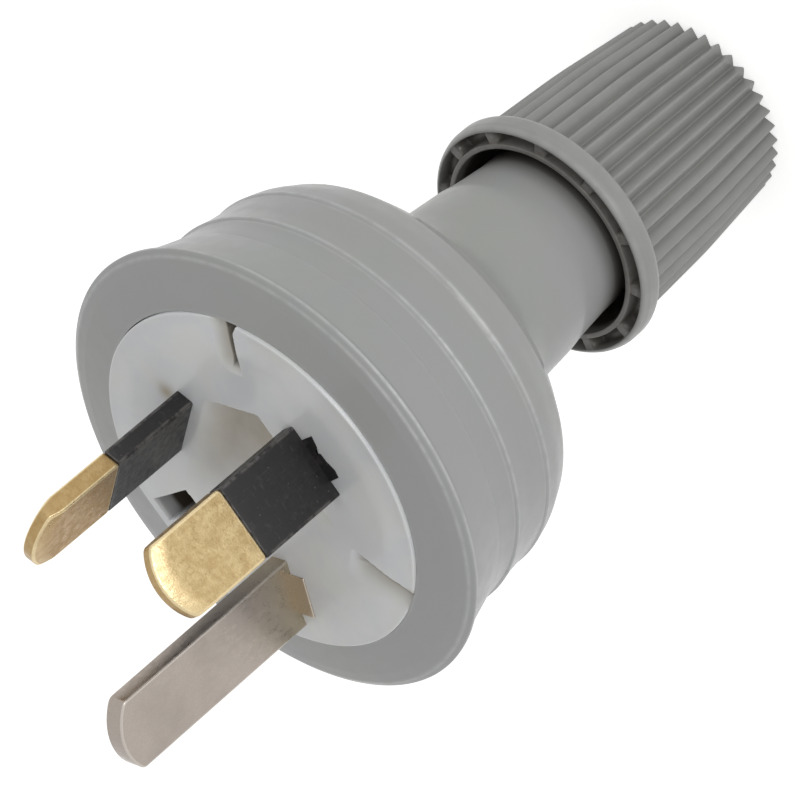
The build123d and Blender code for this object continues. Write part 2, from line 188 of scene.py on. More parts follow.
def rounded(corners, closed=True, steps=6, longest=0.5):
    """An outline with its corners rounded.

    corners holds (x, y, radius). Each corner becomes an arc that touches its two sides, its
    radius cut to what the shorter side leaves. Straight runs are divided evenly, so that no
    two points lie further apart than longest.
    """
    table = np.array(corners, float)
    place, radius = table[:, :2], table[:, 2]
    before = np.roll(place, 1, axis=0) - place
    after = np.roll(place, -1, axis=0) - place
    before_length = np.linalg.norm(before, axis=1)
    after_length = np.linalg.norm(after, axis=1)
    before /= np.maximum(before_length, 1e-9)[:, None]
    after /= np.maximum(after_length, 1e-9)[:, None]
    inner = np.arccos(np.clip((before * after).sum(1), -1, 1))
    room = 0.49 * np.minimum(before_length, after_length)
    reach = np.minimum(radius / np.tan(np.maximum(inner, 1e-3) / 2), room)
    if not closed:
        reach[[0, -1]] = 0
    pieces = []
    for index in range(len(table)):
        if reach[index] < 1e-4 or inner[index] > pi - 1e-3:
            pieces.append(place[index][None])
            continue
        bisector = before[index] + after[index]
        bisector /= np.linalg.norm(bisector)
        arc_r = reach[index] * np.tan(inner[index] / 2)
        centre = place[index] + bisector * np.hypot(arc_r, reach[index])
        start = place[index] + before[index] * reach[index] - centre
        end = place[index] + after[index] * reach[index] - centre
        sweep = np.arctan2(start[0] * end[1] - start[1] * end[0], start @ end)
        turn = np.linspace(0, sweep, steps + 1)[:, None]
        side = np.array([-start[1], start[0]])
        pieces.append(centre + np.cos(turn) * start + np.sin(turn) * side)
    points = np.concatenate(pieces)
    ends = np.roll(points, -1, axis=0) if closed else points[1:]
    starts = points if closed else points[:-1]
    gaps = np.linalg.norm(ends - starts, axis=1)
    counts = np.maximum(np.ceil(gaps / longest), 1).astype(int)
    share = np.concatenate([np.arange(count) / count for count in counts])[:, None]
    starts, ends = np.repeat(starts, counts, axis=0), np.repeat(ends, counts, axis=0)
    filled = starts * (1 - share) + ends * share
    return filled if closed else np.concatenate([filled, points[-1:]])


def clockwise(outline):
    """The outline, turned round where it isn't clockwise."""
    following = np.roll(outline, -1, axis=0)
    area = (outline[:, 0] * following[:, 1] - outline[:, 1] * following[:, 0]).sum()
    return outline[::-1] if area > 0 else outline


def anticlockwise(outline):
    """The outline with its inward normals on the left of its direction."""
    return clockwise(outline)[::-1]


def box_outline(width, depth, corner, y=0.0, longest=0.5):
    """A rounded rectangle about (0, y)."""
    x, half = width / 2, depth / 2
    corners = [(x, y - half, corner), (x, y + half, corner),
               (-x, y + half, corner), (-x, y - half, corner)]
    return anticlockwise(rounded(corners, steps=4, longest=longest))


def soft_step(value, edge, blur):
    """0 below the edge and 1 above it: 3 s s - 2 s s s, where s rises evenly over the blur."""
    share = np.clip((value - edge) / blur + 0.5, 0, 1)
    return share * share * (3 - 2 * share)


def within(value, start, end, blur):
    """1 between start and end and 0 outside, with a smooth change over the blur."""
    return soft_step(value, start, blur) * (1 - soft_step(value, end, blur))


def near(x, y, spots):
    """A sum of round hills, each its height times exp(-(distance / radius) squared).

    Each spot is (x, y, radius, height), and the sum is cut to 0..1.
    """
    total = np.zeros(np.broadcast(x, y).shape)
    for spot_x, spot_y, radius, height in spots:
        total = total + height * np.exp(-((x - spot_x) ** 2 + (y - spot_y) ** 2) / radius ** 2)
    return np.clip(total, 0, 1)


# Meshes


def grid_faces(rows, columns, loop_rows):
    """The quads of a grid whose rows are closed rings, joined end to start where it loops."""
    row = np.arange(rows if loop_rows else rows - 1)
    row, column = np.meshgrid(row, np.arange(columns), indexing="ij")
    next_row = (row + 1) % rows
    next_column = (column + 1) % columns
    corners = [row * columns + column, next_row * columns + column,
               next_row * columns + next_column, row * columns + next_column]
    return np.stack(corners, -1).reshape(-1, 4)


class Surface:
    """Points and faces gathered for one piece, with named values on the points."""

    def __init__(self):
        """Starts empty. A named value that a grid doesn't give is 0 there."""
        self.points = []
        self.quads = []
        self.fans = []
        self.values = {}
        self.count = 0

    def grid(self, points, loop_rows=False, capped=False, **values):
        """Adds a closed grid of points, with a fan over each end where capped is true.

        Its faces are turned round where the volume they enclose comes out negative.
        """
        rows, columns = points.shape[:2]
        ring = np.arange(columns)
        corners = [points.reshape(-1, 3)]
        fans = np.zeros((0, 3), int)
        for row in (0, rows - 1) if capped else ():
            hub = np.full(columns, rows * columns + len(corners) - 1)
            pair = (ring, np.roll(ring, -1)) if row == 0 else (np.roll(ring, -1), ring)
            spokes = np.stack([hub, row * columns + pair[0], row * columns + pair[1]], -1)
            fans = np.concatenate([fans, spokes])
            corners.append(points[row].mean(0)[None])
        quads = grid_faces(rows, columns, loop_rows)
        corners = np.concatenate(corners)
        triangles = np.concatenate([quads[:, :3], quads[:, [0, 2, 3]], fans])
        a, b, c = (corners[index] for index in triangles.T)
        if (a * np.cross(b, c)).sum() < 0:
            quads, fans = quads[:, ::-1], fans[:, ::-1]
        for name, value in values.items():
            value = np.broadcast_to(value, (rows, columns))
            ends = [value[0].mean(), value[-1].mean()] if capped else []
            value = np.concatenate([value.ravel(), ends])
            self.values.setdefault(name, []).append((self.count, value))
        self.points.append(corners)
        self.quads.append(quads + self.count)
        self.fans.append(fans + self.count)
        self.count += len(corners)

    def piece(self, name, slot, body, replaces):
        """Makes the Blender object, smooth all over, gives it its slot and body, and hides the node it
        replaces.
        """
        points = np.concatenate(self.points) * MM
        quads = np.concatenate(self.quads)
        fans = np.concatenate(self.fans)
        mesh = bpy.data.meshes.new(name)
        mesh.vertices.add(len(points))
        mesh.vertices.foreach_set("co", points.astype(np.float32).ravel())
        mesh.loops.add(quads.size + fans.size)
        corners = np.concatenate([quads.ravel(), fans.ravel()])
        mesh.loops.foreach_set("vertex_index", corners.astype(np.int32))
        mesh.polygons.add(len(quads) + len(fans))
        starts = np.concatenate([np.arange(len(quads)) * 4, quads.size + np.arange(len(fans)) * 3])
        mesh.polygons.foreach_set("loop_start", starts.astype(np.int32))
        mesh.polygons.foreach_set("use_smooth", np.ones(len(starts), bool))
        mesh.update(calc_edges=True)
        mesh.validate()
        for value_name, stretches in self.values.items():
            whole = np.zeros(len(points), np.float32)
            for start, values in stretches:
                whole[start:start + len(values)] = values
            attribute = mesh.attributes.new(value_name, "FLOAT", "POINT")
            attribute.data.foreach_set("value", whole)
        thing = bpy.data.objects.new(name, mesh)
        bpy.context.scene.collection.objects.link(thing)
        mesh.materials.append(MATERIALS[slot])
        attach(thing, body)
        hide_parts(replaces)


def turned(outline, angles, out=0.0, up=0.0):
    """A surface of revolution about Z.

    A point of the outline at radius r and height z goes to (r + out) times the cosine and sine
    of each angle, at height z + up. out and up may differ from point to point of the grid.
    """
    radius = outline[:, 0][:, None] + out
    height = outline[:, 1][:, None] + up
    radius, height, turn = np.broadcast_arrays(radius, height, angles[None])
    return np.stack([radius * np.cos(turn), radius * np.sin(turn), height], -1)


def placed(points, matrix):
    """Points moved by a matrix."""
    matrix = np.array(matrix)
    return points @ matrix[:3, :3].T + matrix[:3, 3]


def stacked(outline, steps):
    """An outline carried upwards, pushed inwards by its own normals.

    Each step is (inset, height): the outline is moved by inset along its inward normals.
    """
    along = np.roll(outline, -1, axis=0) - np.roll(outline, 1, axis=0)
    along /= np.linalg.norm(along, axis=1)[:, None]
    inward = np.stack([-along[:, 1], along[:, 0]], -1)
    inset, height = np.array(steps, float).T
    flat = outline[None] + inward[None] * inset[:, None, None]
    tall = np.broadcast_to(height[:, None], flat.shape[:2])
    return np.concatenate([flat, tall[..., None]], -1)


def with_flats(points, shares=(0.3, 0.75)):
    """The grid with rows added on its two end faces.

    Each is the end row, with its distance from the row's middle times one of the shares.
    """
    shares = np.array(shares)[:, None, None]
    ends = [row.mean(0) + shares * (row - row.mean(0)) for row in (points[0], points[-1])]
    return np.concatenate([ends[0], points, ends[1][::-1]])


def round_edges(bottom, top, edge, steps=4):
    """Steps of a plate: a quarter circle from its bottom, its side, a quarter circle to its top."""
    turn = np.linspace(0, pi / 2, steps + 1)
    inset = edge * (1 - np.sin(turn))
    rise = edge * (1 - np.cos(turn))
    lower = np.stack([inset, bottom + rise], -1)
    upper = np.stack([inset, top - rise], -1)[::-1]
    return np.concatenate([lower, upper])


def pin_frame(angle, radius):
    """The frame of a pin at an angle round the face: X across, Y outwards, Z up."""
    return Matrix.Translation((radius * cos(radians(angle)), radius * sin(radians(angle)), 0)) \
        @ Matrix.Rotation(radians(angle - 90), 4, "Z")


# A plate's outline stood upright: its X stays, its Y becomes Z, and its rise becomes Y
ON_EDGE = Matrix(((1, 0, 0, 0), (0, 0, -1, 0), (0, 1, 0, 0), (0, 0, 0, 1)))


# Materials


class Nodes:
    """A short way to build one material's nodes."""

    def __init__(self, name):
        """Starts from the plain shader, with Object coordinates as the place."""
        self.material = bpy.data.materials.new(name)
        self.material.use_nodes = True
        self.tree = self.material.node_tree
        self.shader = self.tree.nodes["Principled BSDF"]
        self.place = self.add("ShaderNodeTexCoord").outputs["Object"]

    def add(self, kind, **settings):
        """A new node with its settings."""
        node = self.tree.nodes.new(kind)
        for key, value in settings.items():
            setattr(node, key, value)
        return node

    def link(self, source, target):
        """Links a socket, or writes a number or a colour."""
        if isinstance(source, (int, float)):
            target.default_value = source
        elif isinstance(source, (tuple, list)):
            target.default_value = (*source, 1.0)
        else:
            self.tree.links.new(source, target)

    def stretched(self, scale, turn=(0, 0, 0)):
        """Object coordinates in millimetres, stretched and turned."""
        node = self.add("ShaderNodeMapping")
        node.inputs["Scale"].default_value = [s / MM for s in scale]
        node.inputs["Rotation"].default_value = [radians(t) for t in turn]
        self.link(self.place, node.inputs["Vector"])
        return node.outputs["Vector"]

    def noise(self, per_mm, detail=3.0, roughness=0.55, distortion=0.0, scale=(1, 1, 1),
              turn=(0, 0, 0)):
        """Cloudy noise about 0.5, with so many clouds to a millimetre."""
        node = self.add("ShaderNodeTexNoise")
        self.link(self.stretched(scale, turn), node.inputs["Vector"])
        for key, value in (("Scale", per_mm), ("Detail", detail), ("Roughness", roughness),
                           ("Distortion", distortion)):
            node.inputs[key].default_value = value
        return node.outputs["Fac"]

    def cells(self, per_mm):
        """The distance to the nearest of scattered points."""
        node = self.add("ShaderNodeTexVoronoi")
        self.link(self.stretched((1, 1, 1)), node.inputs["Vector"])
        node.inputs["Scale"].default_value = per_mm
        return node.outputs["Distance"]

    def band(self, value, start, end, low_value=0.0, high_value=1.0):
        """Maps value from start..end to low_value..high_value, smoothly and clamped."""
        node = self.add("ShaderNodeMapRange", interpolation_type="SMOOTHSTEP")
        for key, source in (("Value", value), ("From Min", start), ("From Max", end),
                            ("To Min", low_value), ("To Max", high_value)):
            self.link(source, node.inputs[key])
        return node.outputs["Result"]

    def math(self, operation, first, second):
        """A sum, product or the like of two sources."""
        node = self.add("ShaderNodeMath", operation=operation)
        self.link(first, node.inputs[0])
        self.link(second, node.inputs[1])
        return node.outputs[0]

    def mix(self, share, first, second):
        """The first colour, replaced by the second as far as the share says."""
        node = self.add("ShaderNodeMix", data_type="RGBA")
        self.link(share, node.inputs["Factor"])
        self.link(first, node.inputs["A"])
        self.link(second, node.inputs["B"])
        return node.outputs["Result"]

    def value(self, name, share=1.0):
        """A share of a named value kept on the mesh."""
        node = self.add("ShaderNodeAttribute", attribute_name=name)
        return self.math("MULTIPLY", node.outputs["Fac"], share)

    def bump(self, *layers):
        """Bumps laid on each other: (height, strength, distance in millimetres)."""
        normal = None
        for height, strength, distance in layers:
            node = self.add("ShaderNodeBump")
            node.inputs["Strength"].default_value = strength
            node.inputs["Distance"].default_value = distance * MM
            self.link(height, node.inputs["Height"])
            if normal is not None:
                self.link(normal, node.inputs["Normal"])
            normal = node.outputs["Normal"]
        self.link(normal, self.shader.inputs["Normal"])

    def gloss(self, specular=0.5, coat=0.0, coat_roughness=0.1):
        """Constants of the shine, written on the shader's own sockets."""
        self.shader.inputs["Specular IOR Level"].default_value = specular
        self.shader.inputs["Coat Weight"].default_value = coat
        self.shader.inputs["Coat Roughness"].default_value = coat_roughness

    def surface(self, colour, roughness, metallic=0.0):
        """The material, once its colour and roughness are linked."""
        self.link(colour, self.shader.inputs["Base Color"])
        self.link(roughness, self.shader.inputs["Roughness"])
        self.shader.inputs["Metallic"].default_value = metallic
        return self.material


def cover_plastic():
    """Soft grey PVC: satin, faintly mottled, with a painted highlight on its ridges, and painted
    shade in its creases and on the neck inside the nut's mouth.
    """
    n = Nodes("cover_pvc")
    mottle = n.noise(0.16, detail=4, distortion=0.6)
    cloud = n.noise(0.05, detail=2)
    cool = n.mix(n.band(mottle, 0.35, 0.65), (0.325, 0.335, 0.330), (0.338, 0.345, 0.327))
    colour = n.mix(n.band(cloud, 0.35, 0.65), cool, (0.333, 0.337, 0.337))
    broken = n.band(n.noise(0.9, detail=3), 0.3, 0.6, 0.45, 1.0)
    # Painted highlight on the ridges
    colour = n.mix(n.math("MULTIPLY", n.value("edge"), broken), colour, (0.60, 0.61, 0.61))
    # Painted shade in the creases
    colour = n.mix(n.value("hollow"), colour, (0.17, 0.17, 0.165))
    # Painted shade on the neck inside the nut's mouth
    colour = n.mix(n.value("grime"), colour, (0.060, 0.053, 0.048))
    roughness = n.band(n.noise(0.7, detail=3), 0.3, 0.7, 0.36, 0.46)
    n.gloss(specular=0.2, coat=0.22, coat_roughness=0.09)
    n.bump((n.noise(4.5, detail=2), 0.05, 0.05), (n.noise(0.35, detail=2), 0.12, 0.25))
    return n.surface(colour, roughness)


def nut_plastic():
    """Harder grey plastic: a painted highlight on the flange's rounded edge and faintly on the ribs'
    crests, painted shade in the grooves, pockets and webs, on the flange's front and in the mouth.
    """
    n = Nodes("nut_plastic")
    mottle = n.noise(0.4, detail=4, distortion=0.4)
    unshaded = n.mix(n.band(mottle, 0.35, 0.65), (0.278, 0.282, 0.274), (0.298, 0.300, 0.290))
    broken = n.band(n.noise(0.8, detail=3), 0.3, 0.6, 0.3, 1.0)
    # Painted highlight on the flange's edge and the crests
    painted_highlight = n.math("MULTIPLY", n.value("edge", 0.6), broken)
    unshaded = n.mix(painted_highlight, unshaded, (0.37, 0.37, 0.36))
    patchy = n.band(n.noise(1.3, detail=4), 0.2, 0.6, 0.8, 1.0)
    # Painted shade in the grooves, the pockets and on the flange's front
    colour = n.mix(n.math("MULTIPLY", n.value("hollow"), patchy), unshaded, (0.100, 0.089, 0.078))
    # Painted shade inside the mouth
    colour = n.mix(n.value("grime"), colour, (0.060, 0.050, 0.043))
    roughness = n.band(n.noise(0.9, detail=3), 0.3, 0.7, 0.36, 0.48)
    n.gloss(specular=0.3, coat=0.2, coat_roughness=0.12)
    n.bump((n.noise(3.5, detail=3), 0.12, 0.06), (n.noise(0.8, detail=2), 0.12, 0.2))
    return n.surface(colour, roughness)


def base_nylon():
    """Bluish white nylon, a little translucent: browner where it is thin in the sunken triangle,
    with painted shade there and on the slopes beside the slits, dark painted shade in the slits
    and the slot, and a painted highlight on the face's edge.
    """
    n = Nodes("base_nylon")
    cloud = n.noise(0.22, detail=3, distortion=0.5)
    white = n.mix(n.band(cloud, 0.35, 0.65), (0.605, 0.615, 0.632), (0.635, 0.648, 0.636))
    patchy = n.band(n.noise(0.5, detail=3), 0.2, 0.75, 0.75, 1.0)
    # Brown where the nylon is thin, with painted shade in the triangle and on the slopes
    colour = n.mix(n.math("MULTIPLY", n.value("warm"), patchy), white, (0.36, 0.305, 0.215))
    # Painted highlight on the face's edge
    colour = n.mix(n.value("edge", 0.6), colour, (0.80, 0.81, 0.82))
    # Painted shade in the slits and the slot
    colour = n.mix(n.value("hollow"), colour, (0.055, 0.042, 0.028))
    roughness = n.band(n.noise(0.8, detail=2), 0.3, 0.7, 0.34, 0.44)
    n.gloss(specular=0.4, coat=0.3, coat_roughness=0.12)
    n.shader.inputs["Subsurface Weight"].default_value = 0.2
    n.shader.inputs["Subsurface Radius"].default_value = (1.0, 0.9, 0.75)
    n.shader.inputs["Subsurface Scale"].default_value = 0.8 * MM
    n.bump((n.noise(2.5, detail=3), 0.06, 0.05), (n.noise(0.25, detail=2), 0.25, 0.25))
    return n.surface(colour, roughness)


def black_insulation():
    """Black plastic with pale fine scratches and dust, rubbed grey along its corners."""
    n = Nodes("pin_insulation")
    rub = n.band(n.noise(0.9, detail=5, roughness=0.7), 0.55, 0.75, 0.0, 0.12)
    along = n.band(n.noise(1.6, detail=3, scale=(6, 6, 0.4)), 0.62, 0.74, 0.0, 0.14)
    slanting = n.noise(0.8, detail=2, scale=(1, 1, 4), turn=(30, 50, 0))
    across = n.band(slanting, 0.62, 0.76, 0.0, 0.15)
    dust = n.band(n.cells(1.3), 0.03, 0.10, 0.5, 0.0)
    broken = n.band(n.noise(1.6, detail=4), 0.35, 0.6)
    corner = n.math("MULTIPLY", n.value("edge", 0.5), broken)
    marks = n.math("MAXIMUM", along, across)
    share = n.math("MAXIMUM", n.math("MAXIMUM", rub, marks), n.math("MAXIMUM", dust, corner))
    colour = n.mix(share, (0.014, 0.0125, 0.0125), (0.150, 0.142, 0.135))
    roughness = n.band(n.noise(2.0, detail=4), 0.3, 0.7, 0.30, 0.46)
    n.gloss(specular=0.4)
    n.bump((n.noise(3.0, detail=4), 0.18, 0.06), (marks, 0.2, 0.03))
    return n.surface(colour, roughness)


def pin_brass():
    """Brass, tumbled dull: fine pits, brown specks, tarnished thin sides, painted shade on the
    neutral pin's wide sides, brighter rubbed edges.
    """
    n = Nodes("pin_brass")
    tone = n.noise(1.2, detail=6, roughness=0.7)
    colour = n.mix(n.band(tone, 0.36, 0.66), (0.46, 0.335, 0.165), (0.585, 0.455, 0.248))
    pits = n.band(n.noise(5.0, detail=5, roughness=0.7), 0.36, 0.46, 0.4, 0.0)
    specks = n.band(n.cells(1.5), 0.05, 0.12, 0.4, 0.0)
    colour = n.mix(n.math("MAXIMUM", pits, specks), colour, (0.30, 0.19, 0.085))
    # Tarnish on the thin sides, and painted shade on the neutral pin's wide sides
    colour = n.mix(n.value("narrow", 0.9), colour, (0.33, 0.195, 0.065))
    colour = n.mix(n.value("edge", 0.6), colour, (0.84, 0.70, 0.44))
    roughness = n.band(n.noise(1.5, detail=5), 0.3, 0.7, 0.26, 0.44)
    n.bump((n.noise(6.0, detail=4), 0.5, 0.05), (n.noise(1.2, detail=3), 0.3, 0.12))
    return n.surface(colour, roughness, metallic=1.0)


def earth_nickel():
    """Dull nickel plating, finely speckled, browner towards the root."""
    n = Nodes("earth_nickel")
    brushed = n.noise(1.2, detail=3, scale=(2, 2, 1))
    stain = n.noise(0.22, detail=4, distortion=0.4)
    fine = n.noise(6.0, detail=3)
    colour = n.mix(n.band(stain, 0.35, 0.7), (0.40, 0.352, 0.315), (0.345, 0.302, 0.272))
    colour = n.mix(n.band(fine, 0.35, 0.65, 0.0, 0.35), colour, (0.33, 0.29, 0.26))
    colour = n.mix(n.value("root"), colour, (0.50, 0.43, 0.32))
    colour = n.mix(n.value("edge", 0.5), colour, (0.66, 0.62, 0.57))
    roughness = n.band(brushed, 0.3, 0.7, 0.26, 0.38)
    n.bump((fine, 0.08, 0.02), (n.noise(0.7, detail=3), 0.10, 0.15))
    return n.surface(colour, roughness, metallic=1.0)


def plain_metal(name, dark, light, roughness):
    """Machined metal: turning marks round Z and a soft change of tone."""
    n = Nodes(name)
    marks = n.noise(4.0, detail=3, scale=(1, 1, 4))
    colour = n.mix(n.band(marks, 0.3, 0.7), dark, light)
    n.bump((marks, 0.12, 0.03))
    return n.surface(colour, n.band(marks, 0.3, 0.7, roughness, roughness + 0.14), metallic=1.0)


def plain_plastic(name, dark, light, roughness):
    """Moulded plastic with a soft change of tone and a fine grain."""
    n = Nodes(name)
    colour = n.mix(n.band(n.noise(0.5, detail=4), 0.3, 0.7), dark, light)
    n.bump((n.noise(4.0, detail=2), 0.08, 0.05))
    return n.surface(colour, n.band(n.noise(1.0), 0.3, 0.7, roughness, roughness + 0.1))


MATERIALS = {
    "cover_pvc": cover_plastic(),
    "nut_plastic": nut_plastic(),
    "base_nylon": base_nylon(),
    "pin_insulation": black_insulation(),
    "pin_brass": pin_brass(),
    "earth_nickel": earth_nickel(),
    "terminal_brass": plain_metal("terminal_brass", (0.50, 0.36, 0.15), (0.66, 0.51, 0.26), 0.28),
    "screw_steel": plain_metal("screw_steel", (0.46, 0.46, 0.44), (0.60, 0.60, 0.58), 0.26),
    "claw_nylon": plain_plastic("claw_nylon", (0.60, 0.61, 0.60), (0.70, 0.71, 0.70), 0.36),
    "seal_rubber": plain_plastic("seal_rubber", (0.018, 0.018, 0.018), (0.035, 0.034, 0.033), 0.60),
    "ring_plastic": plain_plastic("ring_plastic", (0.58, 0.58, 0.55), (0.68, 0.68, 0.65), 0.40),
}

SLOT_OF = {row["node"]: row["material_slot"] for row in frame["record"]["subparts"]}
for node_name, node in frame["nodes"].items():
    node.data.materials.clear()
    node.data.materials.append(MATERIALS[SLOT_OF[node_name]])


# Cover


def cover():
    """The grey cover, turned from its section.

    Drops are measured down from the rim's crease. The radius gets a slow wave of a few
    hundredths of a millimetre round the axis, a sum of three cosines, as soft plastic has. The
    ridges get the edge value, a painted highlight: half of it all round, and half times a bell
    curve of the angle, brightest on the side facing the strip lamp. The creases get painted
    shade, and so does the neck inside the nut's mouth.
    """
    neck_end = RIM - NECK_END
    outside = [
        (LIP_R, 0.6, 0.05), (LIP_R, -1.5, 0.05), (18.35, -0.88, 2.5), (19.40, -0.58, 0.2),
        (19.90, -0.24, 0.2), (19.84, 0.06, 0.08), (19.50, 0.30, 0.1), (18.80, 2.7, 12),
        (18.33, 4.35, 0.15), (18.22, 4.52, 0.1), (17.99, 5.8, 9), (17.90, 6.93, 0.12),
        (18.06, 7.20, 0.2), (17.78, 8.5, 8), (17.53, 11.08, 0.12), (17.65, 11.38, 0.22),
        (17.25, 12.9, 5), (16.25, 14.9, 2.5), (14.4, 16.6, 3), (9.9, 19.2, 4), (8.5, 22.0, 12),
        (8.06, 27.5, 15), (7.80, 29.1, 15), (7.66, 30.4, 8), (7.47, 32.5, 8), (7.45, neck_end, 0.1),
    ]
    inside = [
        (6.2, neck_end, 0.1), (6.2, 17.6, 0.3), (9.6, 17.6, 0.5), (13.5, 14.4, 1), (15.86, 13.2, 0.5),
        (15.86, 3.2, 0.1), (17.4, 3.2, 0.1), (17.4, 0.6, 0.1),
    ]
    ridges = [(LIP_R, -1.5, 0.12, 0.5), (19.40, -0.58, 0.08, 0.7), (19.85, -0.10, 0.13, 0.9),
              (18.28, 4.42, 0.07, 0.5), (18.03, 7.20, 0.08, 1.0), (17.88, 6.90, 0.05, 0.5),
              (17.50, 11.06, 0.05, 0.6), (17.62, 11.38, 0.08, 1.0)]
    creases = [(19.50, 0.30, 0.07, 0.25), (17.51, 11.17, 0.05, 0.35)]
    section = rounded(outside, closed=False, steps=7, longest=0.26)
    back = rounded(inside, closed=False, steps=3, longest=1.5)
    outline = anticlockwise(np.concatenate([section, back]))
    radius, drop = outline.T
    angles = np.linspace(0, tau, COVER_COLUMNS, endpoint=False)
    # Painted highlight on the ridges: half all round, half brightest towards the strip lamp
    painted_highlight = 0.5 + 0.5 * np.exp(-((np.degrees(angles) - HIGHLIGHT_ANGLE) / HIGHLIGHT_SPREAD) ** 2)
    edge = near(radius, drop, ridges)[:, None] * painted_highlight
    # Painted shade in the creases
    hollow = near(radius, drop, creases)[:, None]
    # Painted shade on the neck inside the nut's mouth, darker further in
    grime = np.where((radius < MOUTH_R) & (drop > 20), soft_step(drop, MOUTH_DROP - 0.2, 3.4), 0)
    outline = np.stack([radius, RIM - drop], -1)
    wave = 0.015 * np.cos(2 * angles + 0.7) + 0.012 * np.cos(3 * angles + 2.1)
    wave = wave + 0.006 * np.cos(7 * angles)
    taper = np.clip((radius - 9) / 8, 0, 1) * np.clip((drop + 1.0) / 0.8, 0, 1)
    points = turned(outline, angles, out=(wave - 0.02) * taper[:, None])
    surface = Surface()
    surface.grid(points, loop_rows=True, edge=edge, hollow=hollow, grime=grime[:, None])
    surface.piece("cover_shell", "cover_pvc", "housing", "cover")


# Grip nut


def grip_nut():
    """The ribbed nut, turned from its section and then grooved.

    Round the barrel the radius drops by half the rib depth times one minus a triangle wave
    with its points rounded off, arcsin(k cos(count angle)) / arcsin(k). Over the rear face the
    drop runs out in proportion to the distance from the face's inner edge. On the flange's
    front the height drops by the pocket depth between two radii, except at the webs.
    """
    flange = NUT_TOP - FLANGE_THICKNESS
    outside = [
        (ENTRY_R, 0.0, 0.15), (REAR_INNER_R, 0.0, 0), (REAR_R, 0.0, 0.06), (9.32, 9.0, 60),
        (BARREL_R, flange - 0.12, 0), (BARREL_R, flange, 0), (10.5, flange, 0.15),
        (FLANGE_R, flange + 0.35, 0.4), (FLANGE_R, NUT_TOP - 0.7, 0.6),
        (FLANGE_R - 0.14, NUT_TOP - 0.22, 0.6), (FLANGE_R - 0.42, NUT_TOP, 0.3),
        (POCKET_OUTER_R + 0.04, NUT_TOP - 0.02, 0.1), (POCKET_OUTER_R, NUT_TOP - 0.2, 0),
        (POCKET_INNER_R, NUT_TOP - 0.2, 0), (POCKET_INNER_R - 0.03, NUT_TOP - 0.02, 0.1),
        (MOUTH_R, NUT_TOP - 0.02, 0.14), (MOUTH_FLOOR_R, MOUTH_FLOOR, 0.1),
        (CHAMBER_R, MOUTH_FLOOR, 0.1), (CHAMBER_R, NUT_FLOOR, 0.1), (ENTRY_R, NUT_FLOOR, 0.1),
    ]
    outline = clockwise(rounded(outside, steps=5, longest=0.62))
    radius, height = outline.T
    columns = RIB_COUNT * ANGLES_PER_RIB
    angles = np.linspace(0, tau, columns, endpoint=False) + radians(RIB_PHASE)
    phase = RIB_COUNT * (angles - radians(RIB_PHASE))
    wave = np.arcsin(RIB_SHARPNESS * np.cos(phase)) / np.arcsin(RIB_SHARPNESS)
    groove = (1 - wave) / 2

    on_barrel = (radius > 8.3 + 0.05 * height) & (radius < BARREL_R + 0.02) & (height < flange - 0.1)
    ribbed = on_barrel.astype(float)
    at_rear = (height < 0.01) & (radius > REAR_INNER_R)
    ribbed[at_rear] = (radius[at_rear] - REAR_INNER_R) / (REAR_R - REAR_INNER_R)
    ribbed = ribbed[:, None]
    out = -RIB_DEPTH * groove * ribbed

    in_ring = (radius < POCKET_OUTER_R + 0.01) & (radius > POCKET_INNER_R - 0.01)
    in_ring = (in_ring & (height > NUT_TOP - 0.5))[:, None]
    pitch = 360 / POCKET_COUNT
    from_web = (np.degrees(angles) - POCKET_PHASE + pitch / 2) % pitch - pitch / 2
    pocket = soft_step(np.abs(from_web), WEB_SPAN / 2, WEB_BLUR)
    sunk = in_ring * pocket
    web = in_ring * (1 - pocket)
    up = -(POCKET_DEPTH - 0.2) * sunk + 0.06 * web

    # Painted shade: in the grooves, the pockets, across the webs and on the flange's front
    valley = np.clip(groove * 1.6 - 0.6, 0, 1) * ribbed
    crest = np.clip(1 - 3.2 * groove, 0, 1) * ribbed
    front = (height > NUT_TOP - 0.25) & (radius < FLANGE_R - 0.3) & (radius > MOUTH_R - 0.05)
    front = (np.where(radius < POCKET_INNER_R + 0.05, 0.75, 0.42) * front)[:, None]
    hollow = np.clip(0.3 * valley + 0.8 * sunk + 0.35 * web + front, 0, 1)
    # Painted shade inside the mouth, darker deeper in
    inside = (radius < MOUTH_R + 0.05) & (height < NUT_TOP - 0.1) & (height > NUT_FLOOR - 0.1)
    shade = np.where(inside, soft_step(NUT_TOP - height, 0.7, 1.4), 0)[:, None]
    # Painted highlight on the flange's rounded front edge and side, and faintly on the crests
    rims = [(FLANGE_R - 0.16, NUT_TOP - 0.25, 0.25, 0.9), (FLANGE_R, flange + 0.3, 0.2, 0.4)]
    edge = np.clip(0.08 * crest + near(radius, height, rims)[:, None], 0, 1)
    surface = Surface()
    points = turned(outline, angles, out=out, up=up)
    surface.grid(points, loop_rows=True, hollow=hollow, grime=shade, edge=edge)
    surface.piece("grip_nut_body", "nut_plastic", "grip_nut", "cord_grip_nut")


# Pin base


def along_across(x, y, angle):
    """Distances along a direction in the face, and across it to the left."""
    direction = radians(angle)
    return x * cos(direction) + y * sin(direction), y * cos(direction) - x * sin(direction)


def sunken_triangle(x, y):
    """A product of soft steps: 1 in the triangle, crisp at its top and right.

    It fades out to the left and down.
    """
    right = along_across(x, y, ACTIVE_ANGLE)[0]
    left = along_across(x, y, NEUTRAL_ANGLE)[0]
    inside = (1 - soft_step(y, RECESS_TOP, 0.25)) * (1 - soft_step(right, RECESS_RIGHT, 0.4))
    inside = inside * (1 - soft_step(left, RECESS_LEFT, 3.0))
    return inside * soft_step(y, RECESS_BOTTOM, 8.6)


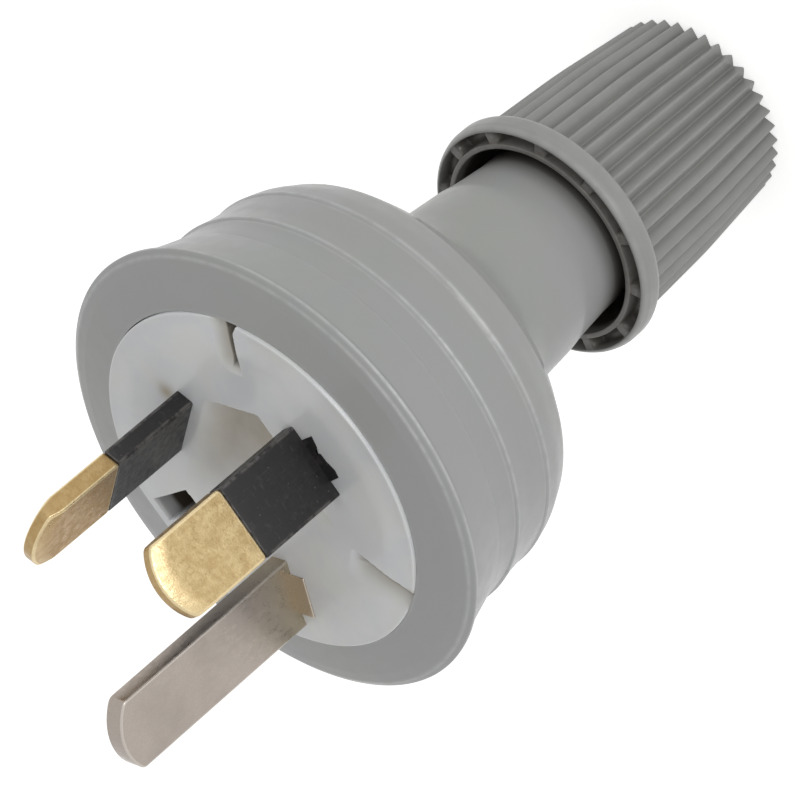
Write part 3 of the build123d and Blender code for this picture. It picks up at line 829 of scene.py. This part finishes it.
def face_relief(x, y):
    """The face's height over (x, y), and two values for its colour.

    Warm is brown: where the nylon is thin in the sunken triangle, together with painted shade
    there, and painted shade on the slopes beside the slits. Painted shade is dark where the face
    is deep, in the slits and the slot, and along the wall of the slope at the lower right. The
    triangle sinks by its depth. A valley along a radius is its depth times the square of one
    minus the squared share of its half width. Beside a slit the height falls in proportion to
    the distance across, and ends at a crisp wall. The slot's floor rises in proportion to the
    distance from its outer end.
    """
    recess = sunken_triangle(x, y)
    height = -RECESS_DEPTH * recess
    # Brown in the sunken triangle, where the nylon is thin, with painted shade there
    warm = 0.85 * np.sqrt(recess)
    for angle in VALLEY_ANGLES:
        along, across = along_across(x, y, angle)
        trough = np.clip(1 - (across / VALLEY_HALF_WIDTH) ** 2, 0, 1) ** 2
        height = height - VALLEY_DEPTH * trough * soft_step(along, 8.5, 3.0)

    # The slit at the top, with the slope that falls to it
    slope = np.clip((x + 0.25) / (SLIT_X + 0.25), 0, 1) * (1 - soft_step(x, SLIT_X, 0.12))
    slope = slope * soft_step(y, 11.1, 1.6)
    flare = np.clip((y - 14.2) / 1.0, 0, 1)
    slit_end = SLIT_X + 0.7 * flare
    slit = within(x, SLIT_X - SLIT_WIDTH, slit_end, 0.1) * soft_step(y, SLIT_START, 0.3)
    height = height - SLOPE_DEPTH * np.maximum(slope, slit) - SLIT_DEPTH * slit
    # Brown painted shade on the slope
    warm = np.maximum(warm, 0.95 * slope ** 0.7)
    # Painted shade in the slit, darker where it flares out to the rim
    dark = within(x, SLIT_X - SLIT_WIDTH - 0.1, slit_end + 0.05, 0.1)
    hollow = dark * soft_step(y, SLIT_START - 0.2, 0.3) * (0.42 + 0.45 * flare)

    # The slope at the lower right
    along, across = along_across(x, y, VALLEY_ANGLES[2])
    slope = np.clip((across + 1.9) / 2.9, 0, 1) ** 1.5 * (1 - soft_step(across, 1.0, 0.18))
    slope = slope * soft_step(along, SIDE_SLOPE_START, 1.6)
    height = height - SLOPE_DEPTH * slope
    # Brown painted shade on the slope
    warm = np.maximum(warm, 0.9 * slope)
    # A line of painted shade along the slope's wall
    dark = within(across, 0.1, 0.95, 0.15) * soft_step(along, SIDE_SLOPE_START, 0.8)
    hollow = np.maximum(hollow, 0.35 * dark)

    # The slot at the lower left
    along, across = along_across(x, y, SLOT_ANGLE)
    slot = (1 - soft_step(np.abs(across), SLOT_HALF_WIDTH, 0.12)) * soft_step(along, SLOT_START, 0.12)
    depth = SLOT_DEPTH * np.clip((SLOT_END - along) / SLOT_WALL, 0, 1) * slot
    height = height - depth
    # Painted shade in the slot, darker where it is deep
    dark = 0.30 * soft_step(depth, 0.15, 0.3) + 0.70 * soft_step(depth, 1.25, 0.3)
    hollow = np.maximum(hollow, slot * dark)

    stains = near(x, y, [(-7.3, 6.6, 0.8, 1.0), (13.4, -6.6, 0.35, 0.7)])
    return height, np.maximum(warm, stains), np.clip(hollow, 0, 1)


def pin_base():
    """The white carrier, turned from its section, with its face worked on a polar grid.

    The face falls away slowly towards its edge, which is pulled in a little at the upper left.
    The columns lie closer where the slits, the slot and the active pin's key are.
    """
    top_r = np.concatenate([np.linspace(AXIS_R, 3.7, 10), np.linspace(3.8, FACE_R - FACE_EDGE_R, 108)])
    top = np.stack([top_r, np.full_like(top_r, FACE)], -1)
    side = [
        (FACE_R - FACE_EDGE_R, FACE, 0), (FACE_R, FACE, FACE_EDGE_R), (FACE_R, BASE_RIM_TOP, 0.1),
        (BASE_RIM_R, BASE_RIM_TOP, 0.2), (BASE_RIM_R, BASE_SEAT, 0.2), (SKIRT_R, BASE_SEAT, 0.1),
        (SKIRT_R, SKIRT_END, 0.2), (SKIRT_INNER_R, SKIRT_END, 0.2),
        (SKIRT_INNER_R, BASE_SEAT, 0.2), (AXIS_R, BASE_SEAT, 0),
    ]
    side = rounded(side, closed=False, steps=6, longest=1.6)[1:]
    outline = np.concatenate([top, side])
    stretches = [(77, 88, 54), (198, 216, 80), (331, 340, 30), (22, 38, 24)]
    angles = [np.linspace(0, 360, 300, endpoint=False)]
    angles += [np.linspace(*stretch) for stretch in stretches]
    angles = np.radians(np.unique(np.round(np.concatenate(angles), 2)))
    radius, turn = np.meshgrid(outline[:, 0], angles, indexing="ij")
    on_face = (np.arange(len(outline)) < len(top) + 8)[:, None]
    height, warm, hollow = face_relief(radius * np.cos(turn), radius * np.sin(turn))
    fall = -0.2 * soft_step(radius, 13.6, 2.6)
    up = np.where(on_face, height + fall, 0)
    warm = np.where(on_face, warm, 0)
    hollow = np.where(on_face, hollow, 0)
    on_rim = (np.abs(outline[:, 0] - FACE_R) < FACE_EDGE_R)[:, None]
    pulled = -0.06 * np.exp(-((np.degrees(angles) - 127) / 15) ** 4)
    out = np.where(on_rim & (outline[:, 1] > BASE_RIM_TOP + 0.1)[:, None], pulled, 0)
    points = turned(outline, angles, out=out, up=up)[::-1]
    # Painted highlight on the face's rounded edge, brightest at 42 degrees round the axis
    painted_highlight = on_rim * np.exp(-((np.degrees(angles) - 42) / 9) ** 2)
    surface = Surface()
    surface.grid(points, capped=True, warm=warm[::-1], hollow=hollow[::-1], edge=painted_highlight[::-1])
    for angle in VALLEY_ANGLES:
        place = Matrix.Rotation(radians(angle), 4, "Z") @ Matrix.Translation((9.3, 0, 0))
        wall = box_outline(11.6, 1.4, 0.2, longest=3)
        add_block(surface, place, wall, BASE_LOW, BASE_SEAT - 0.02, 0.2)
    surface.piece("pin_base_body", "base_nylon", "housing", "pin_base")


# Pins


def blade_outline(bottom, top, bottom_corner):
    """The wide side of a blade: straight sides, an arched end and rounded shoulders."""
    half = BLADE_WIDTH / 2
    arch_x = half * np.linspace(1, -1, 13)
    arch_y = top - TIP_ARC_R + np.sqrt(TIP_ARC_R ** 2 - arch_x ** 2)
    corners = [(-half, bottom, bottom_corner), (half, bottom, bottom_corner)]
    corners += [(x, y, TIP_CORNER_R if abs(x) > half - 0.01 else 2.0) for x, y in zip(arch_x, arch_y)]
    return anticlockwise(rounded(corners, steps=6, longest=0.3))


def add_blade(surface, place, bottom, top, edge, bottom_corner, bevel=0.0, wide_side_shade=0.0, root_fade=0.0):
    """A blade: its outline carried through its thickness, the edges rounded.

    Within the bevel's length of the tip's arc the blade thins by the share of that length that
    is passed, to the power 1.3. The edge value is 1 on the rounded rows and lower on the bevel.
    The narrow value is the tarnish of the thin sides, and on the wide sides the painted shade
    that is given. The root value falls from 1 at the face to 0 at root_fade above it.
    """
    half = BLADE_THICKNESS / 2
    rim = round_edges(-half, half, edge, steps=5)
    margin = np.array([(edge + 0.06, -half)])
    steps = np.concatenate([margin, rim, margin * (1, -1)])
    points = with_flats(stacked(blade_outline(bottom, top, bottom_corner), steps), FLAT_SHARES)
    arch = top - TIP_ARC_R + np.sqrt(TIP_ARC_R ** 2 - points[..., 0] ** 2)
    share = np.zeros(points.shape[:2])
    if bevel:
        share = np.clip(1 - (arch - points[..., 1]) / bevel, 0, 1)
    points[..., 2] *= 1 - TIP_THINNING * share ** 1.3
    points = placed(points, place @ ON_EDGE)
    flat_rows = len(FLAT_SHARES) + 1
    middle = len(points) // 2
    worn = np.ones(points.shape[:2])
    worn[:flat_rows] = worn[-flat_rows:] = 0.0
    worn = np.maximum(worn, 0.6 * np.sqrt(share))
    worn[middle - 1:middle + 1] = 0.0
    narrow = np.zeros(points.shape[:2])
    narrow[:flat_rows] = narrow[-flat_rows:] = wide_side_shade
    narrow[middle - 1:middle + 1] = SIDE_TARNISH
    root = np.clip(1 - (points[..., 2] - FACE) / root_fade, 0, 1) if root_fade else 0.0
    surface.grid(points, capped=True, edge=worn, narrow=narrow, root=root)


def add_block(surface, place, outline, bottom, top, rounding, **values):
    """A plain block with rounded edges, its outline carried from bottom to top."""
    points = with_flats(stacked(outline, round_edges(bottom, top, rounding)))
    surface.grid(placed(points, place), capped=True, **values)


def live_pin(name, angle, wide_side_shade=0.0):
    """A live pin's brass: the bare tip, the core inside the insulation, and the tail."""
    place = pin_frame(angle, LIVE_PIN_R)
    surface = Surface()
    add_blade(surface, place, SLEEVE_TOP, high(name + "_pin").z, 0.2, 0.36, TIP_BEVEL, wide_side_shade)
    core_width = BLADE_WIDTH - 2 * (SLEEVE_WALL + CORE_PLAY)
    core_depth = BLADE_THICKNESS - 2 * (SLEEVE_WALL + CORE_PLAY)
    core = box_outline(core_width, core_depth, 0.1, longest=1.0)
    add_block(surface, place, core, BASE_SEAT, SLEEVE_TOP + 0.4, 0.08)
    tail = box_outline(TAIL_WIDTH, core_depth, 0.1, longest=1.0)
    add_block(surface, place, tail, BASE_SEAT - TAIL_REACH, BASE_SEAT + 0.3, 0.08)
    surface.piece(name + "_pin_metal", "pin_brass", "housing", name + "_pin")


def key_outline():
    """The key beside a live pin, its outer edge torn in a few steps.

    Points are (across, outwards from the pin's face).
    """
    face = BLADE_THICKNESS / 2
    half = KEY_WIDTH / 2
    torn = [(-half, -0.3, 0.05), (-half, 1.4, 0.03), (-1.35, 1.24, 0.05), (-0.92, 1.12, 0.04),
            (-0.74, 0.80, 0.1), (-0.48, 0.78, 0.1), (-0.34, 1.04, 0.05), (0.30, 1.06, 0.1),
            (0.62, 1.16, 0.05), (1.20, 1.34, 0.05), (half - 0.06, 1.18, 0.03), (half, -0.3, 0.05)]
    corners = [(across, face + outwards, radius) for across, outwards, radius in torn]
    return anticlockwise(rounded(corners, steps=3, longest=0.2))


def live_sleeve(name, angle, key_top):
    """The insulation round a live pin: a rounded tube with a key at its root.

    The edge value is 1 on the tube's four corners and on its rim.
    """
    place = pin_frame(angle, LIVE_PIN_R)
    edge = 0.14
    corner = 0.2
    turn = np.linspace(0, pi / 2, 5)
    rim = np.stack([edge * (1 - np.cos(turn)), SLEEVE_TOP - edge + edge * np.sin(turn)], -1)
    heights = np.linspace(BASE_SEAT, SLEEVE_TOP - edge, 24)[:-1]
    outer = np.stack([np.zeros_like(heights), heights], -1)
    outline = box_outline(BLADE_WIDTH, BLADE_THICKNESS, corner, longest=0.14)
    wall = stacked(outline, np.concatenate([outer, rim]))
    bore_share = 1 - 2 * SLEEVE_WALL / np.array((BLADE_WIDTH, BLADE_THICKNESS))
    ends = [np.full(len(outline), z) for z in (SLEEVE_TOP, BASE_SEAT)]
    bore = [np.column_stack([outline * bore_share, end]) for end in ends]
    points = np.concatenate([wall, np.stack(bore)])
    half = np.array((BLADE_WIDTH, BLADE_THICKNESS)) / 2
    at_corner = (np.abs(outline) > half - corner - 0.01).all(1)
    worn = np.where(at_corner[None] | (points[..., 2] > SLEEVE_TOP - edge), 1.0, 0.0)
    surface = Surface()
    surface.grid(placed(points, place), loop_rows=True, edge=worn)
    add_block(surface, place, key_outline(), FACE - KEY_DEPTH, key_top, 0.02)
    surface.piece(name + "_sleeve_body", "pin_insulation", "housing", name + "_sleeve")


def earth_pin():
    """The bare earth blade with its key and its tail."""
    place = Matrix.Translation((0, -EARTH_PIN_R, 0)) @ Matrix.Rotation(radians(-90), 4, "Z")
    surface = Surface()
    add_blade(surface, place, BASE_SEAT, high("earth_pin").z, 0.14, 0.3, root_fade=5.0)
    key_y = BLADE_THICKNESS / 2 + (KEY_THICKNESS - 0.3) / 2
    key = box_outline(KEY_WIDTH, KEY_THICKNESS + 0.3, 0.12, key_y)
    add_block(surface, place, key, FACE - KEY_DEPTH, FACE + 0.12, 0.1, edge=0.25, root=0.5)
    tail = box_outline(TAIL_WIDTH, BLADE_THICKNESS - 2 * SLEEVE_WALL, 0.1, longest=1.0)
    add_block(surface, place, tail, BASE_SEAT - TAIL_REACH, BASE_SEAT + 0.3, 0.08)
    surface.piece("earth_pin_metal", "earth_nickel", "housing", "earth_pin")


cover()
grip_nut()
pin_base()
live_pin("active", ACTIVE_ANGLE)
live_sleeve("active", ACTIVE_ANGLE, FACE + 0.05)
# The neutral pin's wide sides get painted shade
live_pin("neutral", NEUTRAL_ANGLE, wide_side_shade=1.0)
live_sleeve("neutral", NEUTRAL_ANGLE, FACE - 0.4)
earth_pin()


# Studio


def look_from(place, aim, roll=0.0):
    """A matrix at place whose -Z axis points at aim, rolled about that axis in degrees."""
    place, aim = Vector(place) * MM, Vector(aim) * MM
    turn = (aim - place).to_track_quat("-Z", "Y").to_matrix().to_4x4()
    return Matrix.Translation(place) @ turn @ Matrix.Rotation(radians(roll), 4, "Z")


def camera():
    """The photograph's camera, for a frame as wide as it is high."""
    lens = bpy.data.cameras.new("camera")
    lens.lens = CAMERA_LENS
    lens.sensor_width = 36.0
    lens.clip_start = 0.01
    thing = bpy.data.objects.new("camera", lens)
    thing.matrix_world = look_from(CAMERA_PLACE, CAMERA_AIM, CAMERA_ROLL)
    bpy.context.scene.collection.objects.link(thing)
    bpy.context.scene.camera = thing


def softbox(name, azimuth, elevation, width, height, radiance):
    """A rectangular lamp aimed at the plug's middle.

    Azimuth is measured from +X towards +Y. Its power is pi times its area times its radiance.
    """
    aim = Vector(LAMP_AIM)
    a, e = radians(azimuth), radians(elevation)
    away = Vector((cos(a) * cos(e), sin(a) * cos(e), sin(e)))
    lamp = bpy.data.lights.new(name, "AREA")
    lamp.shape = "RECTANGLE"
    lamp.size = width * MM
    lamp.size_y = height * MM
    lamp.energy = radiance * pi * lamp.size * lamp.size_y
    thing = bpy.data.objects.new(name, lamp)
    thing.matrix_world = look_from(aim + away * LAMP_DISTANCE, aim)
    bpy.context.scene.collection.objects.link(thing)


def seen_rays(tree):
    """1 for rays from the camera, a reflection or through glass, and 0 for lighting."""
    path = tree.nodes.new("ShaderNodeLightPath")
    seen = path.outputs["Is Camera Ray"]
    for kind in ("Is Glossy Ray", "Is Transmission Ray"):
        larger = tree.nodes.new("ShaderNodeMath")
        larger.operation = "MAXIMUM"
        tree.links.new(seen, larger.inputs[0])
        tree.links.new(path.outputs[kind], larger.inputs[1])
        seen = larger.outputs[0]
    return seen


def floor():
    """A pale floor that is white to the eye and to reflections and still takes a shadow."""
    n = Nodes("floor_paper")
    n.surface((0.86, 0.86, 0.85), 0.9)
    n.gloss(specular=0.0)
    n.shader.inputs["Emission Color"].default_value = (1, 1, 1, 1)
    n.link(n.math("MULTIPLY", seen_rays(n.tree), FLOOR_GLOW), n.shader.inputs["Emission Strength"])
    mesh = bpy.data.meshes.new("floor")
    reach = FLOOR_REACH * MM
    corners = [(-reach, -reach, 0), (reach, -reach, 0), (reach, reach, 0), (-reach, reach, 0)]
    mesh.from_pydata(corners, [], [(0, 1, 2, 3)])
    mesh.materials.append(n.material)
    thing = bpy.data.objects.new("floor", mesh)
    bpy.context.scene.collection.objects.link(thing)


def sky():
    """Light from all round, dimmer from straight above, and plain white to the eye."""
    world = bpy.data.worlds.new("studio")
    world.use_nodes = True
    tree = world.node_tree
    back = tree.nodes["Background"]
    back.inputs["Color"].default_value = (1, 1, 1, 1)
    direction = tree.nodes.new("ShaderNodeTexCoord")
    split = tree.nodes.new("ShaderNodeSeparateXYZ")
    level = tree.nodes.new("ShaderNodeMapRange")
    tree.links.new(direction.outputs["Generated"], split.inputs[0])
    tree.links.new(split.outputs["Z"], level.inputs["Value"])
    level.inputs["To Min"].default_value = SKY_SIDE
    level.inputs["To Max"].default_value = SKY_TOP
    strength = tree.nodes.new("ShaderNodeMix")
    tree.links.new(seen_rays(tree), strength.inputs["Factor"])
    tree.links.new(level.outputs["Result"], strength.inputs["A"])
    strength.inputs["B"].default_value = 1.0
    tree.links.new(strength.outputs["Result"], back.inputs["Strength"])
    bpy.context.scene.world = world


camera()
sky()
floor()
softbox("strip", azimuth=33, elevation=6, width=420, height=170, radiance=6)
softbox("front", azimuth=42, elevation=12, width=700, height=700, radiance=0.55)
bpy.context.scene.view_settings.view_transform = "Standard"
